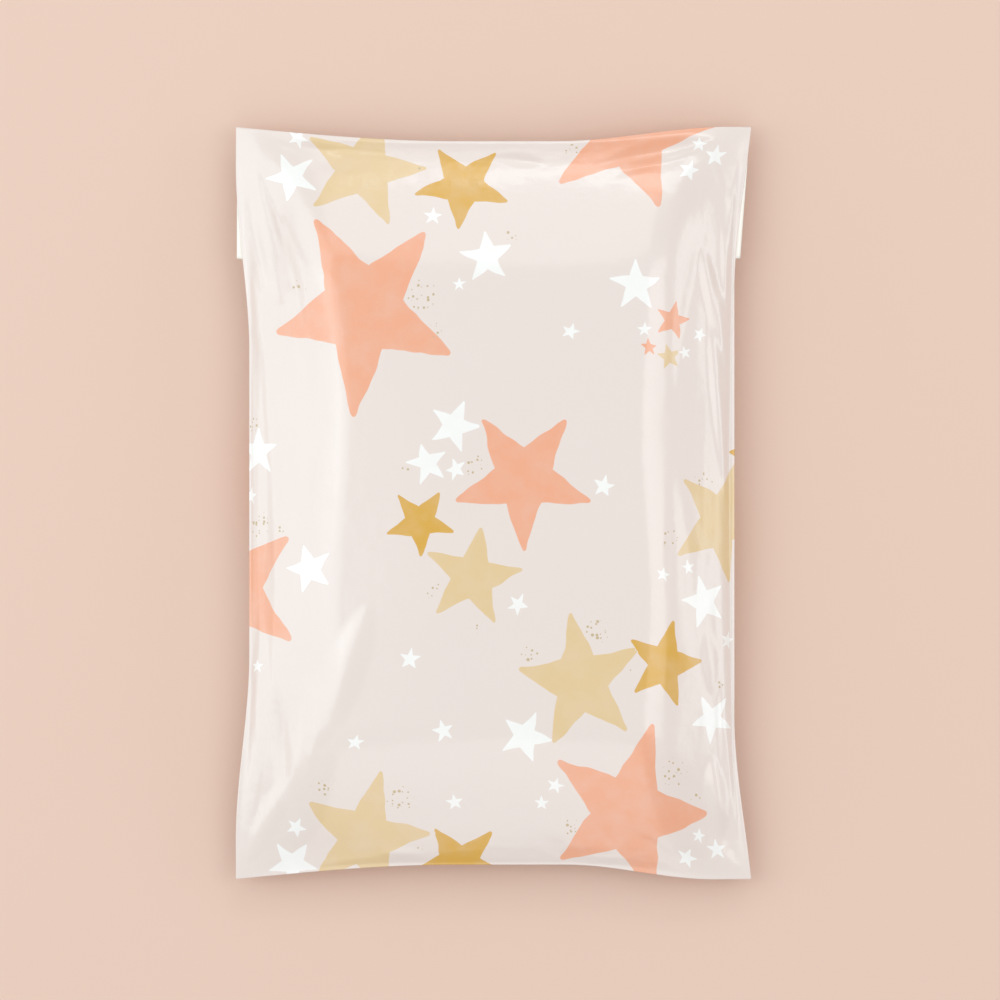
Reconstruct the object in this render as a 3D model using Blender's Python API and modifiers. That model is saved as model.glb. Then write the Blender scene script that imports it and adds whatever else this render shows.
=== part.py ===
# A small stuffed mailing bag of thin film, lying on its back with the printed face up.
#
# The film sheet is folded across the bottom, welded along both sides, and its flap is folded
# over the top edge and glued down on the back. Filled and sealed, it is one closed solid.
#
# X runs across the bag, Y from its bottom fold to its top fold, Z up. The origin is on the
# surface that the bag lies on, under the middle of its outline. All sizes are in metres.

import bpy
import bmesh
from math import hypot, pi, sin

# Outline of the filled bag: its corners stay out while the filling pulls the edges in. A span gives
# the shares of the half side between which that edge's pull fades out towards a corner
CORNER_WIDTH = 0.1524
CORNER_LENGTH = 0.2224
LEFT_PULL = 0.0041
LEFT_SPAN = (0.40, 0.90)
RIGHT_PULL = 0.0051
RIGHT_SPAN = (0.56, 1.15)
TOP_PULL = 0.0044
TOP_LEFT_SPAN = (0.15, 2.00)
TOP_RIGHT_SPAN = (0.25, 0.92)
BOTTOM_PULL = 0.0045
BOTTOM_LEFT_SPAN = (0.15, 2.00)
BOTTOM_RIGHT_SPAN = (0.28, 0.86)

# Thickness: the filling lifts the face, and the weight flattens the back on the surface
FILLED_THICKNESS = 0.0260
RIM_HEIGHT = 0.0110
CORNER_DROOP = 0.0030
CROWN = 0.0028
RIM_THICKNESS = 0.0008

# Shoulders between the flat rim and the full middle. Each is an even slope for its even share, and
# then turns over
WELD_WIDTH = 0.0020
FOLD_MARGIN = 0.0010
LEFT_SHOULDER = 0.0270
RIGHT_SHOULDER = 0.0250
END_SHOULDER = 0.0430
BACK_SIDE_SHOULDER = 0.0260
BACK_END_SHOULDER = 0.0480
SIDE_EVEN_SHARE = 0.55
END_EVEN_SHARE = 0.20

# Folds of the face where the pulled edges leave spare film. Each row belongs to the corner with
# these signs of X and Y, and gives the fold's start and end as distances in from the side and in
# from the end, then half its width, and how far it rises, or sinks below zero
FOLDS = {
    (-1, 1): [
        (0.0057, 0.0132, 0.0147, 0.0532, 0.0045, -0.0009),
        (0.0102, 0.0032, 0.0322, 0.0092, 0.0040, 0.0006),
        (0.0052, 0.0282, 0.0097, 0.0522, 0.0026, 0.0004),
    ],
    (-1, -1): [
        (0.0097, 0.1412, 0.0107, 0.0492, 0.0028, -0.0005),
        (0.0402, 0.0822, 0.0242, 0.0392, 0.0070, 0.0009),
        (0.0122, 0.0592, 0.0152, 0.0212, 0.0035, -0.0007),
        (0.0032, 0.0042, 0.0162, 0.0312, 0.0045, 0.0007),
        (0.0422, 0.0082, 0.0562, 0.0072, 0.0030, 0.0004),
    ],
    (1, 1): [
        (0.0152, 0.0352, 0.0087, 0.0672, 0.0032, 0.0009),
        (0.0132, 0.0512, 0.0084, 0.1092, 0.0026, 0.0006),
        (0.0422, 0.0107, 0.0102, 0.0037, 0.0042, 0.0009),
        (0.0762, 0.0097, 0.0612, 0.0117, 0.0025, 0.0005),
        (0.0062, 0.0182, 0.0047, 0.0272, 0.0022, 0.0005),
    ],
    (1, -1): [
        (0.0142, 0.0752, 0.0117, 0.0532, 0.0030, 0.0006),
        (0.0122, 0.0372, 0.0087, 0.0122, 0.0042, 0.0010),
        (0.0032, 0.0042, 0.0142, 0.0232, 0.0040, -0.0005),
    ],
}

# How blunt the folds' ends are, and how far in from the nearest edge they come up to full height
FOLD_BLUNTNESS = 0.6
FOLD_FADE = (0.0010, 0.0050)

# Flap glued to the back: it keeps its flat width, so its free corners stand past the sides
FLAP_DEPTH = 0.0390
FLAP_STEP = 0.0004
FLAP_INSET = 0.0004
FLAP_TAPER = 0.0015
FLAP_SKEW = 0.0015

# Mesh: cells across and along, drawn together towards the rim
CELLS_ACROSS = 46
CELLS_ALONG = 56
RIM_BUNCHING = 1.25
FLAP_CELLS_ACROSS = 36
FLAP_CELLS_DOWN = 8

# Film: blush polyethylene with a soft shine
FILM_COLOUR = (0.83, 0.75, 0.71, 1.0)
FILM_ROUGHNESS = 0.35

HALF_WIDTH = CORNER_WIDTH / 2
HALF_LENGTH = CORNER_LENGTH / 2


def smooth_step(start, end, value):
    share = min(1.0, max(0.0, (value - start) / (end - start)))
    return share * share * (3 - 2 * share)


def pulled_in(depth, span, share):
    """How far an edge is pulled in at this share of its half side, down to 0 at its corners."""
    return depth * (1 - smooth_step(*span, abs(share)) / smooth_step(*span, 1.0))


def side_edge(x, y):
    """Distance of the nearer side edge from the centre line at this height along the bag."""
    if x < 0:
        return HALF_WIDTH - pulled_in(LEFT_PULL, LEFT_SPAN, y / HALF_LENGTH)
    return HALF_WIDTH - pulled_in(RIGHT_PULL, RIGHT_SPAN, y / HALF_LENGTH)


def end_edge(x, y):
    """Distance of the nearer end edge from the middle at this place across the bag."""
    if y < 0:
        span = BOTTOM_LEFT_SPAN if x < 0 else BOTTOM_RIGHT_SPAN
        return HALF_LENGTH - pulled_in(BOTTOM_PULL, span, x / HALF_WIDTH)
    span = TOP_LEFT_SPAN if x < 0 else TOP_RIGHT_SPAN
    return HALF_LENGTH - pulled_in(TOP_PULL, span, x / HALF_WIDTH)


def shoulder(distance, width, even_share):
    """Rise from 0 at the rim to 1 at the full middle."""
    share = min(1.0, max(0.0, distance / width))
    turn = 1 - even_share
    bend = max(0.0, share - even_share)
    return (share - bend ** 2 / (2 * turn)) / (1 - turn / 2)


def fold_height(x, y):
    """Sum of the folds here. Each is a lens, widest and highest halfway and gone at its ends."""
    height = 0.0
    for (side, end), rows in FOLDS.items():
        for side_in, end_in, side_out, end_out, half_width, rise in rows:
            start_x = side * (HALF_WIDTH - side_in)
            start_y = end * (HALF_LENGTH - end_in)
            run_x = side * (HALF_WIDTH - side_out) - start_x
            run_y = end * (HALF_LENGTH - end_out) - start_y
            run = hypot(run_x, run_y)
            along = ((x - start_x) * run_x + (y - start_y) * run_y) / run ** 2
            if 0 < along < 1:
                swell = sin(pi * along)
                beside = ((x - start_x) * run_y - (y - start_y) * run_x) / run
                across = min(1.0, abs(beside) / (half_width * swell ** FOLD_BLUNTNESS))
                height += rise * swell * (1 - across ** 2) ** 2
    return height


def rim_level(x, y):
    """Height of the rim, which droops towards the four corners."""
    return RIM_HEIGHT - CORNER_DROOP * abs(x / HALF_WIDTH * y / HALF_LENGTH) ** 3


def face_height(x, y):
    """Height of the printed face."""
    from_side = side_edge(x, y) - abs(x)
    from_end = end_edge(x, y) - abs(y)
    side_shoulder = LEFT_SHOULDER if x < 0 else RIGHT_SHOULDER
    fill = shoulder(from_side - WELD_WIDTH, side_shoulder, SIDE_EVEN_SHARE)
    fill *= shoulder(from_end - FOLD_MARGIN, END_SHOULDER, END_EVEN_SHARE)
    rim = rim_level(x, y) + RIM_THICKNESS / 2
    crown = CROWN * (1 - (x / HALF_WIDTH) ** 2) * (1 - (y / HALF_LENGTH) ** 2)
    folds = fold_height(x, y) * smooth_step(*FOLD_FADE, min(from_side, from_end))
    return rim + fill * (FILLED_THICKNESS - CROWN - rim + crown) + folds


def back_height(x, y):
    """Height of the back, which is flat where the bag's weight rests on it."""
    fill = shoulder(side_edge(x, y) - abs(x) - WELD_WIDTH, BACK_SIDE_SHOULDER, SIDE_EVEN_SHARE)
    fill *= shoulder(end_edge(x, y) - abs(y) - FOLD_MARGIN, BACK_END_SHOULDER, END_EVEN_SHARE)
    return (rim_level(x, y) - RIM_THICKNESS / 2) * (1 - fill)


def bunched(share):
    """Moves an even share from -1 to 1 outwards, so that cells are finer near the rim."""
    moved = 1 - (1 - abs(share)) ** RIM_BUNCHING
    return moved if share >= 0 else -moved


def make_film():
    """Material of the film."""
    film = bpy.data.materials.new("blush_film")
    film.use_nodes = True
    shader = film.node_tree.nodes["Principled BSDF"]
    shader.inputs["Base Color"].default_value = FILM_COLOUR
    shader.inputs["Roughness"].default_value = FILM_ROUGHNESS
    shader.inputs["Metallic"].default_value = 0.0
    return film


def add_object(name, form, collection):
    """Writes a bmesh to a new object, shaded smooth."""
    mesh = bpy.data.meshes.new(name)
    form.to_mesh(mesh)
    form.free()
    mesh.shade_smooth()
    thing = bpy.data.objects.new(name, mesh)
    collection.objects.link(thing)
    return thing


def make_body(collection):
    """Filled bag: a grid for the back, thickened upwards into a closed slab, then shaped."""
    form = bmesh.new()
    bmesh.ops.create_grid(form, x_segments=CELLS_ACROSS, y_segments=CELLS_ALONG, size=1.0)
    made = bmesh.ops.extrude_face_region(form, geom=form.faces[:])
    face = {vert for vert in made["geom"] if isinstance(vert, bmesh.types.BMVert)}
    for vert in form.verts:
        across = bunched(vert.co.x)
        along = bunched(vert.co.y)
        x = across * side_edge(across, along * HALF_LENGTH)
        y = along * end_edge(across * HALF_WIDTH, along)
        height = face_height(x, y) if vert in face else back_height(x, y)
        vert.co = (x, y, height)
    bmesh.ops.recalc_face_normals(form, faces=form.faces[:])
    return add_object("mailer_bag", form, collection)


def make_flap(collection):
    """Flap on the back: a sheet that follows the back from the top fold down to its free edge."""
    form = bmesh.new()
    bmesh.ops.create_grid(form, x_segments=FLAP_CELLS_ACROSS, y_segments=FLAP_CELLS_DOWN, size=1.0)
    for vert in form.verts:
        down = (1 - vert.co.y) / 2
        half = HALF_WIDTH - FLAP_INSET - FLAP_TAPER * down
        x = vert.co.x * half - FLAP_SKEW * down
        top = end_edge(x, HALF_LENGTH) - FLAP_INSET
        y = top - (FLAP_DEPTH - FLAP_INSET) * down
        vert.co = (x, y, max(FLAP_STEP, back_height(x, y)))
    flap = add_object("flap_shape", form, collection)
    wall = flap.modifiers.new("film", "SOLIDIFY")
    wall.thickness = 2 * FLAP_STEP
    wall.offset = 0.0
    flap.hide_render = True
    flap.display_type = "WIRE"
    return flap


for old in list(bpy.data.objects):
    bpy.data.objects.remove(old, do_unlink=True)

parts = bpy.data.collections.new("mailing_bag")
helpers = bpy.data.collections.new("helpers")
bpy.context.scene.collection.children.link(parts)
bpy.context.scene.collection.children.link(helpers)

bag = make_body(parts)
bag.data.materials.append(make_film())

flap_union = bag.modifiers.new("flap", "BOOLEAN")
flap_union.operation = "UNION"
flap_union.solver = "EXACT"
flap_union.object = make_flap(helpers)
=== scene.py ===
import math

import bmesh
import bpy
import numpy as np
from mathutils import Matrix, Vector, noise
from mathutils.bvhtree import BVHTree


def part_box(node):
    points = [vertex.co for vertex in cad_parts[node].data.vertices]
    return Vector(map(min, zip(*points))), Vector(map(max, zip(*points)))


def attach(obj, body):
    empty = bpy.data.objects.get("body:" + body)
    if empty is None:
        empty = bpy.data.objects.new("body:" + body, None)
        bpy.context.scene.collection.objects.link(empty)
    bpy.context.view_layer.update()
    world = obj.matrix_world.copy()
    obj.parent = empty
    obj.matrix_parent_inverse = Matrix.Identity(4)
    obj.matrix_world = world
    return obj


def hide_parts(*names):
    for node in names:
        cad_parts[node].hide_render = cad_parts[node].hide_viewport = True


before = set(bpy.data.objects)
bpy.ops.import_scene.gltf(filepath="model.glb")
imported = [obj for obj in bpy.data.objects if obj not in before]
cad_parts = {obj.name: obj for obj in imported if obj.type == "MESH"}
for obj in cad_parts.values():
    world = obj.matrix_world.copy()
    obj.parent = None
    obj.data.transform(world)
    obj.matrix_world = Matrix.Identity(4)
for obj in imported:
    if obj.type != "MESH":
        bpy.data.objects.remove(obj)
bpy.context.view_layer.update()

# A small mailing bag of printed polyethylene film, stuffed soft, lying face up.
# Shapes are worked out in millimetres and written to the meshes in metres.
mm = 0.001
low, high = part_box("mailer_bag")
halfWidth = (high[0] - low[0]) / 2 / mm
halfLength = (high[1] - low[1]) / 2 / mm
fullHeight = (high[2] - low[2]) / mm

# How the filling pulls each edge in: depth in mm, and then for its left or lower half and for
# its other half the shares of it between which the pull fades out towards the corner
pulls = {
    "left": (4.1, (0.40, 0.90), (0.40, 0.90)),
    "right": (5.1, (0.56, 1.15), (0.56, 1.15)),
    "top": (4.4, (0.15, 2.00), (0.25, 0.92)),
    "bottom": (4.5, (0.15, 2.00), (0.28, 0.86)),
}

# The filled bag, in mm
bag = {
    "cellsAcross": 90,
    "cellsAlong": 134,
    "bunching": 1.3,          # cells are finer near the rim
    "rimHeight": 11.0,
    "cornerDroop": 3.0,
    "crown": 2.8,             # how much fuller the middle is than the end of the shoulders
    "rimThickness": 0.3,
    "weld": 2.0,
    "fold": 1.0,
    "leftShoulder": 27.0,
    "rightShoulder": 25.0,
    "endShoulder": 43.0,
    "backSideShoulder": 26.0,
    "backEndShoulder": 48.0,
    "sideEven": 0.55,         # share of a shoulder that slopes evenly before it turns over
    "endEven": 0.20,
    "drift": 0.16,            # share by which the shoulders' width drifts
    "driftSize": 55.0,
    "driftAcross": 0.2,       # it drifts along the bag, and little across it
    "lumps": 0.5,             # soft unevenness of the filling
    "lumpSize": 42.0,
    "seeds": {"drift": 3.0, "lumps": 8.0},
}


def smoothStep(start, end, value):
    share = np.clip((value - start) / (end - start), 0.0, 1.0)
    return share * share * (3 - 2 * share)


def pulledIn(name, share):
    depth, *spans = pulls[name]
    faded = [smoothStep(*span, np.abs(share)) / smoothStep(*span, 1.0) for span in spans]
    return depth * (1 - np.where(share < 0, *faded))


def sideEdge(x, y):
    pull = np.where(x < 0, pulledIn("left", y / halfLength), pulledIn("right", y / halfLength))
    return halfWidth - pull


def endEdge(x, y):
    pull = np.where(y > 0, pulledIn("top", x / halfWidth), pulledIn("bottom", x / halfWidth))
    return halfLength - pull


def shoulder(distance, width, even):
    # An even slope that turns over into the full middle
    share = np.clip(distance / width, 0.0, 1.0)
    turn = 1 - even
    bend = np.clip(share - even, 0.0, None)
    return (share - bend ** 2 / (2 * turn)) / (1 - turn / 2)


def rimLevel(x, y):
    return bag["rimHeight"] - bag["cornerDroop"] * np.abs(x / halfWidth * y / halfLength) ** 3


def unevenness(x, y, size, seed):
    points = zip(x / size, y / size)
    return np.array([noise.noise((px, py, seed)) for px, py in points])


def faceHeight(x, y):
    fromSide = sideEdge(x, y) - np.abs(x)
    fromEnd = endEdge(x, y) - np.abs(y)
    width = np.where(x < 0, bag["leftShoulder"], bag["rightShoulder"])
    drift = unevenness(x * bag["driftAcross"], y, bag["driftSize"], bag["seeds"]["drift"])
    width = width * (1 + bag["drift"] * drift)
    fill = shoulder(fromSide - bag["weld"], width, bag["sideEven"])
    fill = fill * shoulder(fromEnd - bag["fold"], bag["endShoulder"], bag["endEven"])
    rim = rimLevel(x, y) + bag["rimThickness"] / 2
    crown = bag["crown"] * (1 - (x / halfWidth) ** 2) * (1 - (y / halfLength) ** 2)
    lumps = bag["lumps"] * unevenness(x, y, bag["lumpSize"], bag["seeds"]["lumps"])
    return rim + fill * (fullHeight - bag["crown"] - rim + crown + lumps)


def backHeight(x, y):
    fromSide = sideEdge(x, y) - np.abs(x)
    fromEnd = endEdge(x, y) - np.abs(y)
    fill = shoulder(fromSide - bag["weld"], bag["backSideShoulder"], bag["sideEven"])
    fill = fill * shoulder(fromEnd - bag["fold"], bag["backEndShoulder"], bag["endEven"])
    return (rimLevel(x, y) - bag["rimThickness"] / 2) * (1 - fill)


# Folds of the face, by the corner that each is nearest to: start and end as mm in from the side
# and mm in from the end, then half its width, and how far it rises, or sinks below zero
folds = {
    "topLeft": [
        (5.7, 13.2, 14.7, 53.2, 4.5, -0.9), (10.2, 3.2, 32.2, 9.2, 4.0, 0.6),
        (5.2, 28.2, 9.7, 52.2, 2.6, 0.4),
    ],
    "bottomLeft": [
        (9.7, 141.2, 10.7, 49.2, 2.8, -0.5), (40.2, 82.2, 24.2, 39.2, 7.0, 0.9),
        (12.2, 59.2, 15.2, 21.2, 3.5, -0.7), (3.2, 4.2, 16.2, 31.2, 4.5, 0.7),
        (42.2, 8.2, 56.2, 7.2, 3.0, 0.4),
    ],
    "topRight": [
        (15.2, 35.2, 8.7, 67.2, 3.2, 0.9), (13.2, 51.2, 8.4, 109.2, 2.6, 0.6),
        (42.2, 10.7, 10.2, 3.7, 4.2, 0.9), (76.2, 9.7, 61.2, 11.7, 2.5, 0.5),
        (6.2, 18.2, 4.7, 27.2, 2.2, 0.5),
    ],
    "bottomRight": [
        (14.2, 75.2, 11.7, 53.2, 3.0, 0.6), (12.2, 37.2, 8.7, 12.2, 4.2, 1.0),
        (3.2, 4.2, 14.2, 23.2, 4.0, -0.5),
    ],
}

# Fine creases, given the same way
creases = {
    "topLeft": [
        (8.8, 62.0, 9.0, 110.0, 1.2, -0.16), (6.0, 8.0, 12.0, 26.0, 1.2, 0.16),
        (20.0, 6.0, 48.0, 8.5, 1.3, 0.14), (12.5, 20.0, 17.5, 46.0, 1.2, -0.14),
    ],
    "bottomLeft": [
        (8.8, 110.0, 9.2, 30.0, 1.2, -0.18), (6.2, 78.0, 7.4, 22.0, 1.0, 0.14),
        (12.0, 66.0, 13.5, 30.0, 1.1, 0.14), (5.0, 12.0, 9.0, 34.0, 1.3, -0.16),
        (28.0, 60.0, 20.0, 24.0, 1.6, 0.16),
    ],
    "topRight": [
        (8.8, 26.0, 8.2, 56.0, 1.0, 0.26), (4.0, 40.0, 4.2, 96.0, 0.9, -0.14),
        (10.4, 70.0, 7.2, 128.0, 1.1, 0.16), (48.0, 12.4, 14.0, 6.4, 3.0, 0.28),
        (12.0, 6.0, 8.0, 22.0, 1.0, 0.14),
    ],
    "bottomRight": [
        (6.8, 96.0, 6.6, 40.0, 0.9, 0.14), (4.2, 84.0, 4.6, 28.0, 0.9, -0.14),
        (9.8, 62.0, 9.0, 26.0, 1.1, 0.16), (16.0, 30.0, 12.0, 8.0, 1.2, -0.14),
        (30.0, 6.0, 58.0, 7.5, 1.2, 0.12),
    ],
}

# How blunt the ends of folds and creases are, their least width, and how far in from the rim
# they start to rise and are at full height, in mm
foldShape = {
    "bluntness": 0.6,
    "leastWidth": 0.05,
    "fade": (1.0, 5.0),
}


def foldHeight(x, y, group):
    # Each fold is a lens: widest and highest halfway, and gone at its ends
    height = np.zeros_like(x)
    for corner, rows in group.items():
        side = -1 if corner.endswith("Left") else 1
        end = 1 if corner.startswith("top") else -1
        for sideIn, endIn, sideOut, endOut, width, rise in rows:
            startX = side * (halfWidth - sideIn)
            startY = end * (halfLength - endIn)
            runX = side * (halfWidth - sideOut) - startX
            runY = end * (halfLength - endOut) - startY
            run = math.hypot(runX, runY)
            along = ((x - startX) * runX + (y - startY) * runY) / run ** 2
            beside = ((x - startX) * runY - (y - startY) * runX) / run
            swell = np.sin(np.pi * np.clip(along, 0.0, 1.0))
            wide = np.maximum(width * swell ** foldShape["bluntness"], foldShape["leastWidth"])
            across = np.clip(np.abs(beside) / wide, 0.0, 1.0)
            height += rise * swell * (1 - across ** 2) ** 2
    return height


# Faint streaks that the pulled film shows beside its edges
streaks = {
    "sideRise": 0.07,
    "endRise": 0.03,
    "width": 3.6,
    "length": 34.0,
    "start": 5.0,             # mm in from an edge where they are at full height
    "fade": (9.6, 24.0),      # mm in from it between which they fade out again
    "sharpness": 3,
    "seeds": {"side": 21.0, "end": 34.0},
}


def streakHeight(x, y):
    # Ridged noise, drawn out along the nearer edge
    fromSide = halfWidth - np.abs(x)
    fromEnd = halfLength - np.abs(y)
    total = np.zeros_like(x)
    sides = (fromSide, y, x, streaks["seeds"]["side"], streaks["sideRise"])
    ends = (fromEnd, x, y, streaks["seeds"]["end"], streaks["endRise"])
    for away, alongEdge, acrossEdge, seed, rise in (sides, ends):
        points = zip(acrossEdge / streaks["width"], alongEdge / streaks["length"])
        ridges = np.array([1 - abs(noise.noise((px, py, seed))) * 2 for px, py in points])
        near = smoothStep(0.0, streaks["start"], away) * (1 - smoothStep(*streaks["fade"], away))
        total += rise * near * ridges ** streaks["sharpness"]
    return total


# How near to 0 or 1 a point's share of the face counts as the back or the face
nearly = 0.01


def foldFilm(mesh):
    # Adds the folds to the face, and fades them out at its rim
    seen = np.empty(len(mesh.vertices) * 3)
    mesh.attributes["seen"].data.foreach_get("vector", seen)
    x, y, onFace = seen.reshape(-1, 3).T
    inner = np.minimum(sideEdge(x, y) - np.abs(x), endEdge(x, y) - np.abs(y))
    free = np.where(onFace > 1 - nearly, smoothStep(*foldShape["fade"], inner), 0.0)
    height = foldHeight(x, y, folds) + foldHeight(x, y, creases) + streakHeight(x, y)
    points = getPoints(mesh)
    points[:, 2] += free * height * mm
    setPoints(mesh, points)


def bunched(share):
    return np.sign(share) * (1 - (1 - np.abs(share)) ** bag["bunching"])


def getPoints(mesh):
    points = np.empty(len(mesh.vertices) * 3)
    mesh.vertices.foreach_get("co", points)
    return points.reshape(-1, 3)


def setPoints(mesh, points):
    mesh.vertices.foreach_set("co", points.ravel())
    mesh.update()


def addObject(name, mesh):
    thing = bpy.data.objects.new(name, mesh)
    bpy.context.scene.collection.objects.link(thing)
    return thing


def makeBag():
    form = bmesh.new()
    cells = {"x_segments": bag["cellsAcross"], "y_segments": bag["cellsAlong"]}
    bmesh.ops.create_grid(form, size=1.0, **cells)
    made = bmesh.ops.extrude_face_region(form, geom=form.faces[:])
    for part in made["geom"]:
        if isinstance(part, bmesh.types.BMVert):
            part.co.z = 1.0
    bmesh.ops.recalc_face_normals(form, faces=form.faces[:])
    mesh = bpy.data.meshes.new("bagFilm")
    form.to_mesh(mesh)
    form.free()
    mesh.shade_smooth()
    grid = getPoints(mesh)
    across = bunched(grid[:, 0])
    along = bunched(grid[:, 1])
    onFace = grid[:, 2] > 0.5
    x = across * sideEdge(across, along * halfLength)
    y = along * endEdge(across * halfWidth, along)
    z = np.where(onFace, faceHeight(x, y), backHeight(x, y))
    setPoints(mesh, np.stack([x, y, z], axis=1) * mm)
    seen = mesh.attributes.new("seen", "FLOAT_VECTOR", "POINT")
    seen.data.foreach_set("vector", np.stack([x, y, onFace], axis=1).ravel())
    layer = mesh.attributes.new("flat", "FLOAT_VECTOR", "POINT")
    flatZ = bag["rimHeight"] + np.where(onFace, 0.5, -0.5) * bag["rimThickness"]
    flat = np.stack([across * halfWidth, along * filmCloth["flatLength"] / 2, flatZ], axis=1)
    layer.data.foreach_set("vector", (flat * mm).ravel())
    return addObject("bagFilm", mesh)


# Cloth: the film's rest shape is the flat bag, so what the filling leaves over becomes folds
filmCloth = {
    "flatLength": 229.0,
    "frames": 30,
    "quality": 7,
    "mass": 0.004,
    "stretch": 40.0,
    "bend": 0.05,
    "damping": 8,
    "airDamping": 2,
    "pressure": 4.0,
    "hold": 14.0,             # how firmly held points keep their place
    "middleHold": 0.6,        # share of that with which the filling holds the middle
    "middleSpan": (0.75, 1.15),    # shares of the shoulders' width over which this sets in
    "rimHold": 0.9,           # share with which the welds and folded ends hold the rim
    "rimSpan": (0.0, 0.8),    # mm from the rim over which this fades
    "restsBelow": 0.3,        # mm: lower points rest on the floor
    "leastHold": 0.02,
    "furthest": 4.0,          # mm that the simulation may move a point
}


def holdWeights(points):
    # Full where the back rests, firm at the rim, some on the middle and none on the shoulders
    x, y, z = (points / mm).T
    fromSide = sideEdge(x, y) - np.abs(x)
    fromEnd = endEdge(x, y) - np.abs(y)
    inner = np.minimum(fromSide / bag["leftShoulder"], fromEnd / bag["endShoulder"])
    middle = filmCloth["middleHold"] * smoothStep(*filmCloth["middleSpan"], inner)
    resting = np.where(z < filmCloth["restsBelow"], 1.0, 0.0)
    rim = filmCloth["rimHold"] * (1 - smoothStep(*filmCloth["rimSpan"], np.minimum(fromSide, fromEnd)))
    return np.maximum(np.maximum(middle, resting), rim)


def simulateFilm(thing):
    mesh = thing.data
    start = getPoints(mesh)
    thing.shape_key_add(name="Basis")
    flatKey = thing.shape_key_add(name="flatFilm")
    flat = np.empty(len(mesh.vertices) * 3)
    mesh.attributes["flat"].data.foreach_get("vector", flat)
    flatKey.data.foreach_set("co", flat)
    group = thing.vertex_groups.new(name="hold")
    for index, weight in enumerate(holdWeights(start)):
        if weight > filmCloth["leastHold"]:
            group.add([index], float(weight), "REPLACE")
    cloth = thing.modifiers.new("film", "CLOTH")
    settings = cloth.settings
    settings.quality = filmCloth["quality"]
    settings.mass = filmCloth["mass"]
    settings.tension_stiffness = filmCloth["stretch"]
    settings.compression_stiffness = filmCloth["stretch"]
    settings.shear_stiffness = filmCloth["stretch"] / 2
    settings.bending_stiffness = filmCloth["bend"]
    settings.tension_damping = filmCloth["damping"]
    settings.compression_damping = filmCloth["damping"]
    settings.shear_damping = filmCloth["damping"]
    settings.air_damping = filmCloth["airDamping"]
    settings.use_pressure = True
    settings.uniform_pressure_force = filmCloth["pressure"]
    settings.vertex_group_mass = "hold"
    settings.pin_stiffness = filmCloth["hold"]
    settings.rest_shape_key = flatKey
    settings.effector_weights.gravity = 0.0
    cloth.collision_settings.use_collision = False
    cloth.point_cache.frame_start = 1
    cloth.point_cache.frame_end = filmCloth["frames"]
    for step in range(1, filmCloth["frames"] + 1):
        bpy.context.scene.frame_set(step)
    held = thing.evaluated_get(bpy.context.evaluated_depsgraph_get())
    moved = getPoints(held.data) - start
    thing.modifiers.remove(cloth)
    thing.shape_key_clear()
    thing.vertex_groups.clear()
    bpy.context.scene.frame_set(1)
    reach = np.linalg.norm(moved, axis=1, keepdims=True)
    furthest = filmCloth["furthest"] * mm
    print(f"film moved {reach.mean() / mm:.2f} mm on average and {reach.max() / mm:.2f} mm at most")
    reach = np.maximum(reach, 1e-9)    # nothing is divided by zero
    moved *= furthest * np.tanh(reach / furthest) / reach
    ended = start + moved
    ended[:, 2] = np.maximum(ended[:, 2], 0.0)
    setPoints(mesh, ended)


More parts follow.
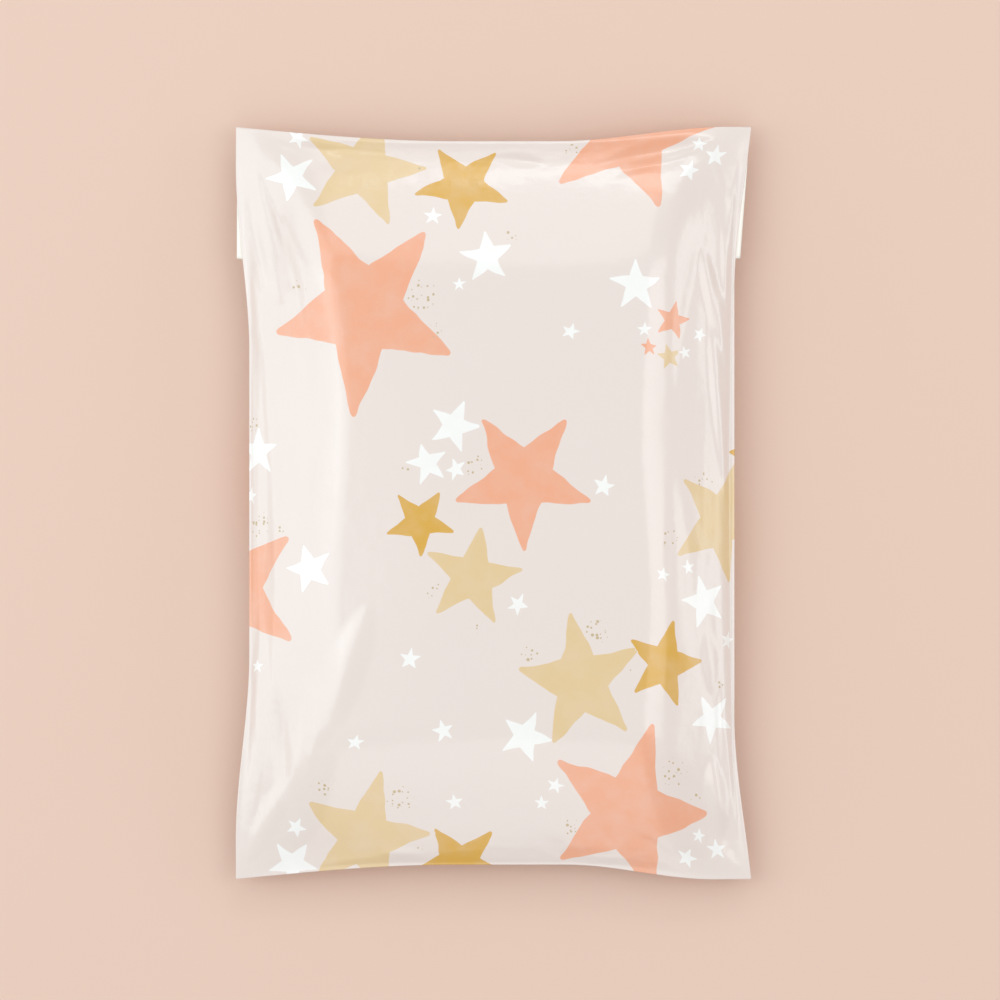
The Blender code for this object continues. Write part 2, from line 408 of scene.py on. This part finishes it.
# The print, in mm from the bag's middle as it is seen from the front. A star is x, y, reach of
# its tips, how far a tip is turned clockwise from straight up, and any stretch along the bag
printed = {
    "repeat": 204.0,          # the print's repeat along the film
    "takeUp": {"side": 1.6, "end": 2.2},    # how fast the take-up of pulled film fades inwards
    "speckFade": (0.7, 1.35),    # shares of a cluster's reach between which its specks thin out
    "stars": {
        "coral": [
            (-38.2, 56.4, 27.8, -30, 1.12), (8.8, 7.2, 20.6, 36, 1.03),
            (39.4, -91.0, 24.8, 17, 1.14), (40.2, 109.0, 26.2, 17), (-77.6, -25.6, 25.8, -20),
            (52.4, 53.6, 5.8, 13), (45.5, 45.4, 2.6, 0),
        ],
        "gold": [
            (-9.0, 93.4, 14.4, -31, 1.03), (-9.9, -105.6, 14.4, -31), (-21.4, -5.5, 10.2, 34),
            (50.0, -47.2, 12.6, 14, 1.05), (79.0, 15.0, 10.0, -18),
        ],
        "paleGold": [
            (-38.0, -98.4, 19.4, 15, 1.14), (-38.2, 97.9, 18.9, 14), (-6.2, -21.6, 14.8, 10),
            (25.6, -52.1, 18.5, -9, 1.09), (66.2, -5.6, 17.2, 24, 1.10), (51.5, 43.0, 4.0, -10),
        ],
        "white": [
            (-59.4, 96.0, 7.9, -25), (-2.0, 72.0, 8.1, -7), (41.6, 63.5, 7.8, 0),
            (-68.6, 15.0, 7.4, 0), (-53.8, -19.2, 7.6, -18), (-11.4, 22.7, 7.8, 22),
            (61.5, -29.0, 7.8, -16), (9.3, -68.4, 7.8, 23), (63.9, -63.4, 7.6, -32),
            (-59.4, -106.1, 7.5, -33), (-19.3, 11.5, 6.2, -15),
            (-17.8, 83.8, 2.9, 10), (-11.0, 9.7, 3.0, -20), (32.3, 5.0, 3.1, 12),
            (6.9, -29.5, 3.1, 30), (-24.3, -45.4, 3.3, 5), (-14.9, -66.7, 3.3, -12),
            (-58.0, -95.3, 3.1, 25), (65.6, 102.7, 3.3, 0), (57.4, 98.2, 3.1, 18),
            (65.9, -102.1, 3.3, 0), (57.1, -104.7, 3.1, 18), (-10.2, 64.0, 2.2, 0),
            (22.6, 50.4, 2.5, 20), (60.6, 105.6, 2.2, 10), (60.3, -98.2, 2.2, 10),
            (44.4, 50.7, 2.1, 0), (60.0, 49.3, 2.1, 20), (55.9, 44.2, 2.1, -15),
            (49.7, -20.9, 2.2, 8), (56.8, -18.6, 2.3, -10), (68.6, -40.1, 2.8, 15),
            (-68.9, -48.1, 2.2, 0), (-40.3, -69.9, 2.4, 12), (-11.4, -87.6, 2.5, -8),
            (18.1, -82.9, 2.5, 16), (14.0, -87.9, 2.2, 0), (-57.7, 107.4, 3.1, 25),
            (-71.2, 2.4, 2.6, 10),
        ],
    },
    # clusters of fine specks: x, y and reach
    "specks": [
        (-21.1, 60.8, 4.2), (-16.4, 50.8, 2.4), (-57.4, 63.1, 2.6), (-21.1, 98.8, 1.6),
        (5.8, 79.1, 2.4), (22.9, 104.1, 2.2), (-70.4, 23.0, 2.2), (-68.6, -6.5, 3.8),
        (-61.8, -7.4, 1.6), (-25.5, 9.7, 1.8), (-5.2, 10.9, 3.0), (-17.6, -25.4, 2.2),
        (-4.0, -36.0, 1.6), (61.2, 7.4, 3.2), (51.5, -10.6, 2.8), (30.2, -37.2, 3.4),
        (10.5, -44.5, 2.9), (39.7, -48.1, 1.4), (-50.0, -82.9, 3.2), (-28.2, -86.7, 4.4),
        (-22.6, -101.5, 1.8), (52.9, -79.1, 4.0), (59.4, -86.1, 2.0), (22.9, -95.0, 2.6),
        (66.5, -52.8, 2.0),
    ],
}


def filmPlace(x, y):
    # Where a point of the face is on the film: the film is flat and square-cornered, and what
    # the filling pulls in at an edge is taken up on the shoulder beside it
    sidePull = halfWidth - sideEdge(x, y)
    endPull = halfLength - endEdge(x, y)
    sideShare = np.clip(1 - (sideEdge(x, y) - np.abs(x)) / bag["leftShoulder"], 0.0, 1.0)
    endShare = np.clip(1 - (endEdge(x, y) - np.abs(y)) / bag["endShoulder"], 0.0, 1.0)
    across = x + np.sign(x) * sidePull * sideShare ** printed["takeUp"]["side"]
    along = y + np.sign(y) * endPull * endShare ** printed["takeUp"]["end"]
    return across, along


def starLists():
    # Rows of x, y, reach, turn, stretch and ink: as seen on the face, and as repeated on the back
    rows = []
    for number, ink in enumerate(printed["stars"]):
        rows += [(*star, 1.0)[:5] + (number,) for star in printed["stars"][ink]]
    seen = np.array(rows, dtype=float)
    seen[:, 0], seen[:, 1] = filmPlace(seen[:, 0], seen[:, 1])
    lowest = halfLength - printed["repeat"]
    once = seen[seen[:, 1] >= lowest]
    copies = [once + np.array([0, step * printed["repeat"], 0, 0, 0, 0]) for step in (-2, -1, 1)]
    return seen, np.concatenate(copies)


def starDistance(place, stars):
    # Signed distance in mm to each star
    turn = np.radians(stars[:, 3])
    dx = place[:, None, 0] - stars[None, :, 0]
    dy = (place[:, None, 1] - stars[None, :, 1]) / stars[None, :, 4]
    px = dx * np.cos(turn) - dy * np.sin(turn)
    py = dx * np.sin(turn) + dy * np.cos(turn)
    fold = np.abs((np.arctan2(px, py) + np.pi / 5) % (2 * np.pi / 5) - np.pi / 5)
    reach = np.hypot(px, py)
    beyond = reach * np.cos(fold) - stars[:, 2] / starForm["tip"]
    return beyond * starForm["out"] + reach * np.sin(fold) * starForm["side"]


def printOn(mesh, place, wrapped):
    # Each corner of a face gets its place on the film, and its place in the frame of the
    # star nearest to that face, so the stars' edges stay sharp at any distance
    loops = len(mesh.loops)
    counts = np.empty(len(mesh.polygons), dtype=int)
    mesh.polygons.foreach_get("loop_total", counts)
    faceOf = np.repeat(np.arange(len(counts)), counts)
    middle = np.stack([np.bincount(faceOf, place[:, axis]) / counts for axis in (0, 1)], axis=1)
    onFace, onBack = starLists()
    chosen = np.zeros((len(counts), 6))
    for stars, picked in ((onFace, ~wrapped), (onBack, wrapped)):
        if picked.any():
            chosen[picked] = stars[np.argmin(starDistance(middle[picked], stars), axis=1)]
    star = chosen[faceOf]
    turn = np.radians(star[:, 3])
    dx = place[:, 0] - star[:, 0]
    dy = (place[:, 1] - star[:, 1]) / star[:, 4]
    local = np.stack([dx * np.cos(turn) - dy * np.sin(turn),
                      dx * np.sin(turn) + dy * np.cos(turn), star[:, 2] / starForm["tip"]], axis=1)
    specks = np.zeros(loops)
    for x, y, reach in printed["specks"]:
        sx, sy = filmPlace(np.array([x]), np.array([y]))
        half = printed["repeat"] / 2
        gap = (place[:, 1] - sy + half) % printed["repeat"] - half
        near = np.where(wrapped[faceOf], gap, place[:, 1] - sy)
        share = np.hypot(place[:, 0] - sx, near) / reach
        specks = np.maximum(specks, 1 - smoothStep(*printed["speckFade"], share))
    level = np.column_stack([place, np.zeros(loops)])
    addCorners(mesh, "filmPlace", "FLOAT_VECTOR", "vector", level)
    addCorners(mesh, "starPlace", "FLOAT_VECTOR", "vector", local)
    addCorners(mesh, "starInk", "FLOAT", "value", star[:, 5])
    addCorners(mesh, "specks", "FLOAT", "value", specks)


def addCorners(mesh, name, kind, field, values):
    layer = mesh.attributes.new(name, kind, "CORNER")
    layer.data.foreach_set(field, values.astype(np.float32).ravel())


def printBag(mesh):
    # The back is the same web of film, past the bottom fold
    vertexOf = np.empty(len(mesh.loops), dtype=int)
    mesh.loops.foreach_get("vertex_index", vertexOf)
    counts = np.empty(len(mesh.polygons), dtype=int)
    mesh.polygons.foreach_get("loop_total", counts)
    faceOf = np.repeat(np.arange(len(counts)), counts)
    seen = np.empty(len(mesh.vertices) * 3)
    mesh.attributes["seen"].data.foreach_get("vector", seen)
    x, y, front = seen.reshape(-1, 3)[vertexOf].T
    wrapped = np.bincount(faceOf, front) / counts < nearly
    across, along = filmPlace(x, y)
    along = np.where(wrapped[faceOf], -2 * halfLength - along, along)
    printOn(mesh, np.stack([across, along], axis=1), wrapped)


# The flap is folded over the top edge and glued down on the back. It keeps its flat width,
# so its free corners stand out past the pulled-in sides.
flap = {
    "depth": 39.0,
    "taper": 1.5,             # mm that each side comes in down to the free edge
    "skew": 1.5,              # mm that the free edge lies to the left
    "inset": 0.4,             # mm between its fold and the bag's edge
    "filmThickness": 0.12,
    "gap": 0.05,              # mm between it and the back
    "below": 10.0,            # mm under the bag from which its back is felt for
    "cellsAcross": 150,
    "cellsDown": 40,
}


def makeFlap(bagThing):
    surface = BVHTree.FromObject(bagThing, bpy.context.evaluated_depsgraph_get())
    form = bmesh.new()
    cells = {"x_segments": flap["cellsAcross"], "y_segments": flap["cellsDown"]}
    bmesh.ops.create_grid(form, size=1.0, **cells)
    mesh = bpy.data.meshes.new("bagFlap")
    form.to_mesh(mesh)
    form.free()
    grid = getPoints(mesh)
    down = (1 - grid[:, 1]) / 2
    half = halfWidth - flap["inset"] - flap["taper"] * down
    x = grid[:, 0] * half - flap["skew"] * down
    top = endEdge(x, np.ones_like(x)) - flap["inset"]
    y = top - (flap["depth"] - flap["inset"]) * down
    z = np.empty_like(x)
    for index in range(len(x)):
        under = Vector((x[index], y[index], -flap["below"])) * mm
        hit = surface.ray_cast(under, Vector((0, 0, 1)))[0]
        if hit is None:
            beside = Vector((x[index], y[index], float(rimLevel(x[index], y[index])))) * mm
            hit = surface.find_nearest(beside)[0]
        z[index] = hit.z / mm
    z = np.maximum(z - flap["filmThickness"] / 2 - flap["gap"], flap["filmThickness"])
    setPoints(mesh, np.stack([x, y, z], axis=1) * mm)
    mesh.flip_normals()
    mesh.shade_smooth()
    vertexOf = np.empty(len(mesh.loops), dtype=int)
    mesh.loops.foreach_get("vertex_index", vertexOf)
    along = 2 * halfLength - y - (halfLength - flap["inset"] - top)
    wrapped = np.ones(len(mesh.polygons), dtype=bool)
    printOn(mesh, np.stack([x, along], axis=1)[vertexOf], wrapped)
    thing = addObject("bagFlap", mesh)
    wall = thing.modifiers.new("film", "SOLIDIFY")
    wall.thickness = flap["filmThickness"] * mm
    wall.offset = 0.0
    wall.material_offset = 1
    wall.material_offset_rim = 1
    return thing


def linear(hexCode):
    # sRGB hex to linear colour with alpha
    channels = [int(hexCode[at:at + 2], 16) / 255 for at in (1, 3, 5)]
    return (*[c / 12.92 if c <= 0.04045 else ((c + 0.055) / 1.055) ** 2.4 for c in channels], 1.0)


def addNode(tree, kind, settings=(), links=()):
    node = tree.nodes.new(kind)
    for name, value in dict(settings).items():
        if isinstance(name, str) and hasattr(node, name):
            setattr(node, name, value)
        else:
            node.inputs[name].default_value = value
    for name, source in dict(links).items():
        socket = source.outputs[0] if isinstance(source, bpy.types.Node) else source
        tree.links.new(socket, node.inputs[name])
    return node


# Blown LDPE film, printed on its outer side: pale and opaque, with a soft wet-looking shine
printedFilm = {
    "blush": "#EBDED8",
    "blushWarm": "#EEDFD7",
    "coral": "#F3AB87",
    "gold": "#DCA833",
    "paleGold": "#E6C896",
    "white": "#FBFAF7",
    "speck": "#C9B48C",
    "cloudSize": 38.0,        # mm from the one blush to the other
    "mottleSize": 7.0,        # mm between the spots where the ink lies thinner
    "mottleSpan": (0.4, 0.75),    # the noise's values between which it thins
    "mottleThin": 0.16,       # share of bare film that shows there at most
    "roughness": (0.27, 0.33),
    "roughnessDrift": 24.0,   # mm between its changes
    "roughnessSpan": (0.1, 0.9),    # the noise's values that stand for its two ends
    "ior": 1.6,               # polyethylene has 1.51, and its printed varnish a little more
    "gloss": 1.0,             # weight of the smooth outer skin
    "glossRoughness": 0.13,
    "glossIor": 1.5,
    "wobble": 1.1,            # mm that a star's cut edge wanders
    "wobbleSize": 9.0,
    "edge": 0.08,             # mm on either side over which a star's edge fades
    "tipSoftness": 0.05,      # share of a star's reach over which its tips are rounded
    "speckSize": 1.45,        # mm between specks
    "speckGaps": 0.2,         # share of the specks that are left out
    "speckLargest": 0.40,     # radius of the largest speck as a share of the distance
    "speckEdge": 0.08,        # its soft edge, as a share too
    "crinkleSize": 6.0,
    "crinkleStrength": 0.6,
    "crinkleDepth": 0.18,
}

# A star's rounded tips and its inner corners, as shares of where its straight edges would meet,
# and the outward direction of such an edge
starForm = {"tip": 0.94, "inner": 0.41}
edgeX = 1 - starForm["inner"] * math.cos(math.pi / 5)
edgeY = starForm["inner"] * math.sin(math.pi / 5)
starForm["out"] = edgeY / math.hypot(edgeX, edgeY)
starForm["side"] = edgeX / math.hypot(edgeX, edgeY)


def starMask(tree, film):
    # 1 inside the nearest star: its edge is a straight line in one tenth of the turn
    local = addNode(tree, "ShaderNodeAttribute", {"attribute_name": "starPlace"})
    reach = addNode(tree, "ShaderNodeSeparateXYZ", (), {0: local.outputs["Vector"]}).outputs[2]
    uneven = addNode(tree, "ShaderNodeTexNoise",
                     {"Scale": 1 / printedFilm["wobbleSize"], "Detail": 1.5}, {"Vector": film})
    centred = addNode(tree, "ShaderNodeVectorMath", {"operation": "SUBTRACT", 1: (0.5, 0.5, 0.5)},
                      {0: uneven.outputs["Color"]})
    wobble = addNode(tree, "ShaderNodeVectorMath",
                     {"operation": "SCALE", "Scale": 2 * printedFilm["wobble"]}, {0: centred})
    moved = addNode(tree, "ShaderNodeVectorMath", {"operation": "ADD"},
                    {0: local.outputs["Vector"], 1: wobble})
    flatPlace = addNode(tree, "ShaderNodeVectorMath", {"operation": "MULTIPLY", 1: (1, 1, 0)},
                        {0: moved})
    place = addNode(tree, "ShaderNodeSeparateXYZ", (), {0: flatPlace})
    length = addNode(tree, "ShaderNodeVectorMath", {"operation": "LENGTH"}, {0: flatPlace})
    away = length.outputs["Value"]
    angle = addNode(tree, "ShaderNodeMath", {"operation": "ARCTAN2"},
                    {0: place.outputs[0], 1: place.outputs[1]})
    fold = addNode(tree, "ShaderNodeMath", {"operation": "PINGPONG", 1: math.pi / 5}, {0: angle})
    cosine = addNode(tree, "ShaderNodeMath", {"operation": "COSINE"}, {0: fold})
    sine = addNode(tree, "ShaderNodeMath", {"operation": "SINE"}, {0: fold})
    out = addNode(tree, "ShaderNodeMath", {"operation": "MULTIPLY"}, {0: away, 1: cosine})
    side = addNode(tree, "ShaderNodeMath", {"operation": "MULTIPLY"}, {0: away, 1: sine})
    beyond = addNode(tree, "ShaderNodeMath", {"operation": "SUBTRACT"}, {0: out, 1: reach})
    outPart = addNode(tree, "ShaderNodeMath", {"operation": "MULTIPLY", 1: starForm["out"]},
                      {0: beyond})
    edge = addNode(tree, "ShaderNodeMath", {"operation": "MULTIPLY_ADD", 1: starForm["side"]},
                   {0: side, 2: outPart})
    tipReach = addNode(tree, "ShaderNodeMath", {"operation": "MULTIPLY", 1: starForm["tip"]},
                       {0: reach})
    tip = addNode(tree, "ShaderNodeMath", {"operation": "SUBTRACT"}, {0: away, 1: tipReach})
    softness = addNode(tree, "ShaderNodeMath",
                       {"operation": "MULTIPLY", 1: printedFilm["tipSoftness"]}, {0: reach})
    rounded = addNode(tree, "ShaderNodeMath", {"operation": "SMOOTH_MAX"},
                      {0: edge, 1: tip, 2: softness})
    fade = printedFilm["edge"]
    return addNode(tree, "ShaderNodeMapRange", {"From Min": fade, "From Max": -fade},
                   {"Value": rounded})


def inkColours(tree):
    # The ink of the nearest star, from a ramp with one even step for each ink
    inks = printed["stars"]
    index = addNode(tree, "ShaderNodeAttribute", {"attribute_name": "starInk"}).outputs["Fac"]
    share = addNode(tree, "ShaderNodeMath",
                    {"operation": "MULTIPLY_ADD", 1: 1 / len(inks), 2: 0.5 / len(inks)}, {0: index})
    ramp = addNode(tree, "ShaderNodeValToRGB", (), {0: share})
    ramp.color_ramp.interpolation = "CONSTANT"
    stops = ramp.color_ramp.elements
    for number, ink in enumerate(inks):
        stop = stops[0] if number == 0 else stops.new(number / len(inks))
        stop.color = linear(printedFilm[ink])
    stops.remove(stops[-1])
    return ramp.outputs[0]


def speckMask(tree, film):
    # Specks in the cells of a grid that is broken up, smaller towards the edge of a cluster
    cells = addNode(tree, "ShaderNodeTexVoronoi",
                    {"Scale": 1 / printedFilm["speckSize"], "voronoi_dimensions": "2D"},
                    {"Vector": film})
    chance = addNode(tree, "ShaderNodeSeparateColor", (), {0: cells.outputs["Color"]})
    cluster = addNode(tree, "ShaderNodeAttribute", {"attribute_name": "specks"}).outputs["Fac"]
    size = addNode(tree, "ShaderNodeMapRange",
                   {"From Min": printedFilm["speckGaps"], "To Max": printedFilm["speckLargest"]},
                   {"Value": chance.outputs[0]})
    dot = addNode(tree, "ShaderNodeMath", {"operation": "MULTIPLY"}, {0: cluster, 1: size})
    inside = addNode(tree, "ShaderNodeMath", {"operation": "SUBTRACT"},
                     {0: dot, 1: cells.outputs["Distance"]})
    return addNode(tree, "ShaderNodeMapRange", {"From Max": printedFilm["speckEdge"]},
                   {"Value": inside})


def makePrintedFilm():
    # The eye sees a milky blush film with soft broad highlights, and flat inks that shine with it
    material = bpy.data.materials.new("LDPE film, printed")
    material.use_nodes = True
    tree = material.node_tree
    shader = tree.nodes["Principled BSDF"]
    film = addNode(tree, "ShaderNodeAttribute", {"attribute_name": "filmPlace"}).outputs["Vector"]
    cloud = addNode(tree, "ShaderNodeTexNoise",
                    {"Scale": 1 / printedFilm["cloudSize"], "Detail": 3}, {"Vector": film})
    base = addNode(tree, "ShaderNodeMix", {"data_type": "RGBA", 6: linear(printedFilm["blush"]),
                                           7: linear(printedFilm["blushWarm"])}, {0: cloud})
    mottle = addNode(tree, "ShaderNodeTexNoise",
                     {"Scale": 1 / printedFilm["mottleSize"], "Detail": 4}, {"Vector": film})
    lowest, highest = printedFilm["mottleSpan"]
    thin = addNode(tree, "ShaderNodeMapRange", {"From Min": lowest, "From Max": highest,
                                                "To Max": printedFilm["mottleThin"]},
                   {"Value": mottle.outputs[0]})
    ink = addNode(tree, "ShaderNodeMix", {"data_type": "RGBA"},
                  {0: thin, 6: inkColours(tree), 7: base.outputs[2]})
    starred = addNode(tree, "ShaderNodeMix", {"data_type": "RGBA"},
                      {0: starMask(tree, film), 6: base.outputs[2], 7: ink.outputs[2]})
    whole = addNode(tree, "ShaderNodeMix",
                    {"data_type": "RGBA", 7: linear(printedFilm["speck"])},
                    {0: speckMask(tree, film), 6: starred.outputs[2]})
    tree.links.new(whole.outputs[2], shader.inputs["Base Color"])
    addFilmFinish(tree, shader, film)
    return material


def addFilmFinish(tree, shader, film):
    # A faint crinkle, and roughness that drifts
    drift = addNode(tree, "ShaderNodeTexNoise",
                    {"Scale": 1 / printedFilm["roughnessDrift"], "Detail": 1.0}, {"Vector": film})
    crinkle = addNode(tree, "ShaderNodeTexNoise",
                      {"Scale": 1 / printedFilm["crinkleSize"], "Detail": 4, "Roughness": 0.55},
                      {"Vector": film})
    lowest, highest = printedFilm["roughnessSpan"]
    finest, roughest = printedFilm["roughness"]
    rough = addNode(tree, "ShaderNodeMapRange", {"From Min": lowest, "From Max": highest,
                                                 "To Min": finest, "To Max": roughest},
                    {"Value": drift.outputs[0]})
    tree.links.new(rough.outputs[0], shader.inputs["Roughness"])
    shader.inputs["IOR"].default_value = printedFilm["ior"]
    shader.inputs["Coat Weight"].default_value = printedFilm["gloss"]
    shader.inputs["Coat Roughness"].default_value = printedFilm["glossRoughness"]
    shader.inputs["Coat IOR"].default_value = printedFilm["glossIor"]
    bump = addNode(tree, "ShaderNodeBump", {"Strength": printedFilm["crinkleStrength"],
                                            "Distance": printedFilm["crinkleDepth"] * mm},
                   {"Height": crinkle.outputs[0]})
    tree.links.new(bump.outputs[0], shader.inputs["Normal"])
    tree.links.new(bump.outputs[0], shader.inputs["Coat Normal"])


# The same film seen from its unprinted side
bareFilm = {
    "cream": "#FFF8EC",
    "creamPale": "#FFFAF1",
    "cloudSize": 12.0,
}


def makeBareFilm():
    # The eye sees creamy white with the same soft shine
    material = bpy.data.materials.new("LDPE film, bare side")
    material.use_nodes = True
    tree = material.node_tree
    shader = tree.nodes["Principled BSDF"]
    film = addNode(tree, "ShaderNodeAttribute", {"attribute_name": "filmPlace"}).outputs["Vector"]
    cloud = addNode(tree, "ShaderNodeTexNoise",
                    {"Scale": 1 / bareFilm["cloudSize"], "Detail": 3}, {"Vector": film})
    base = addNode(tree, "ShaderNodeMix", {"data_type": "RGBA", 6: linear(bareFilm["cream"]),
                                           7: linear(bareFilm["creamPale"])}, {0: cloud})
    tree.links.new(base.outputs[2], shader.inputs["Base Color"])
    addFilmFinish(tree, shader, film)
    return material


print("making the bag")
bagFilm = makeBag()
print("simulating the film")
simulateFilm(bagFilm)
finer = bagFilm.modifiers.new("finer", "SUBSURF")
finer.levels = 1
finer.render_levels = 1
refined = bagFilm.evaluated_get(bpy.context.evaluated_depsgraph_get())
fineMesh = bpy.data.meshes.new_from_object(refined)
bagFilm.modifiers.remove(finer)
bagFilm.data = fineMesh
print("folding the film")
foldFilm(fineMesh)
print("printing the film")
printBag(fineMesh)
print("folding the flap")
bagFlap = makeFlap(bagFilm)
filmMaterial = makePrintedFilm()
bareMaterial = makeBareFilm()
bagFilm.data.materials.append(filmMaterial)
bagFlap.data.materials.append(filmMaterial)
bagFlap.data.materials.append(bareMaterial)

for piece in (bagFilm, bagFlap):
    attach(piece, "root")
    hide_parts("mailer_bag")

# Soft boxes aim at the bag: azimuth in degrees from +X, height above the floor in degrees,
# distance and size in metres, brightness, where 1 is white, and colour, cool or neutral
studio = {
    "floorHalfSize": 3.0,
    "floorColour": "#E8C9B8",
    "floorRoughness": 0.7,
    "world": 0.585,
    "softBoxes": {
        "left": (182, 48, 1.2, (0.48, 1.45), 1.30, "#ECFBFF"),
        "top": (90, 46, 1.2, (0.60, 0.90), 0.70, "#FFFFFF"),
        "right": (2, 58, 1.2, (0.60, 0.62), 1.42, "#FFFFFF"),
        "bottom": (270, 48, 1.2, (0.50, 0.90), 0.71, "#FFFFFF"),
        "rightStrip": (4, 22, 1.3, (0.80, 0.30), 1.75, "#F0FCFF"),
        "topStrip": (72, 38, 1.2, (0.70, 0.12), 2.8, "#F0FCFF"),
        "upperLeft": (150, 48, 1.2, (0.56, 0.95), 1.18, "#ECFBFF"),
        "leftStrip": (182, 12, 1.2, (0.90, 0.36), 0.80, "#F0FCFF"),
    },
}


def makeFloor():
    # The eye sees matt board painted a pale blush
    paint = bpy.data.materials.new("painted board")
    paint.use_nodes = True
    shader = paint.node_tree.nodes["Principled BSDF"]
    shader.inputs["Base Color"].default_value = linear(studio["floorColour"])
    shader.inputs["Roughness"].default_value = studio["floorRoughness"]
    form = bmesh.new()
    bmesh.ops.create_grid(form, x_segments=1, y_segments=1, size=studio["floorHalfSize"])
    mesh = bpy.data.meshes.new("floor")
    form.to_mesh(mesh)
    form.free()
    mesh.materials.append(paint)
    return addObject("floor", mesh)


def addSoftBox(name, azimuth, height, distance, size, brightness, tint):
    light = bpy.data.lights.new(name, "AREA")
    light.color = linear(tint)[:3]
    light.shape = "RECTANGLE"
    light.size, light.size_y = size
    light.energy = brightness * math.pi * size[0] * size[1]
    box = bpy.data.objects.new(name, light)
    bpy.context.scene.collection.objects.link(box)
    level = distance * math.cos(math.radians(height))
    place = Vector((level * math.cos(math.radians(azimuth)), level * math.sin(math.radians(azimuth)),
                    distance * math.sin(math.radians(height))))
    box.location = place
    box.rotation_euler = (-place).to_track_quat("-Z", "Y").to_euler()


print("setting up the studio")
floor = makeFloor()
world = bpy.data.worlds.new("studio")
bpy.context.scene.world = world
world.use_nodes = True
sky = world.node_tree.nodes["Background"]
sky.inputs["Color"].default_value = (1, 1, 1, 1)
sky.inputs["Strength"].default_value = studio["world"]
for name, box in studio["softBoxes"].items():
    addSoftBox(name, *box)

# The camera looks straight down. The picture is this wide in mm at the height of the bag's rim,
# and its middle lies beside the bag's
view = {
    "lens": 180,
    "sensor": 36,
    "width": 295.0,
    "middle": (1.9, 0.9),
}
camera = bpy.data.cameras.new("camera")
camera.lens = view["lens"]
camera.sensor_width = view["sensor"]
cameraObject = bpy.data.objects.new("camera", camera)
bpy.context.scene.collection.objects.link(cameraObject)
distance = view["width"] * view["lens"] / view["sensor"]
cameraObject.location = Vector((*view["middle"], distance + bag["rimHeight"])) * mm
bpy.context.scene.camera = cameraObject

bpy.context.scene.view_settings.view_transform = "Standard"
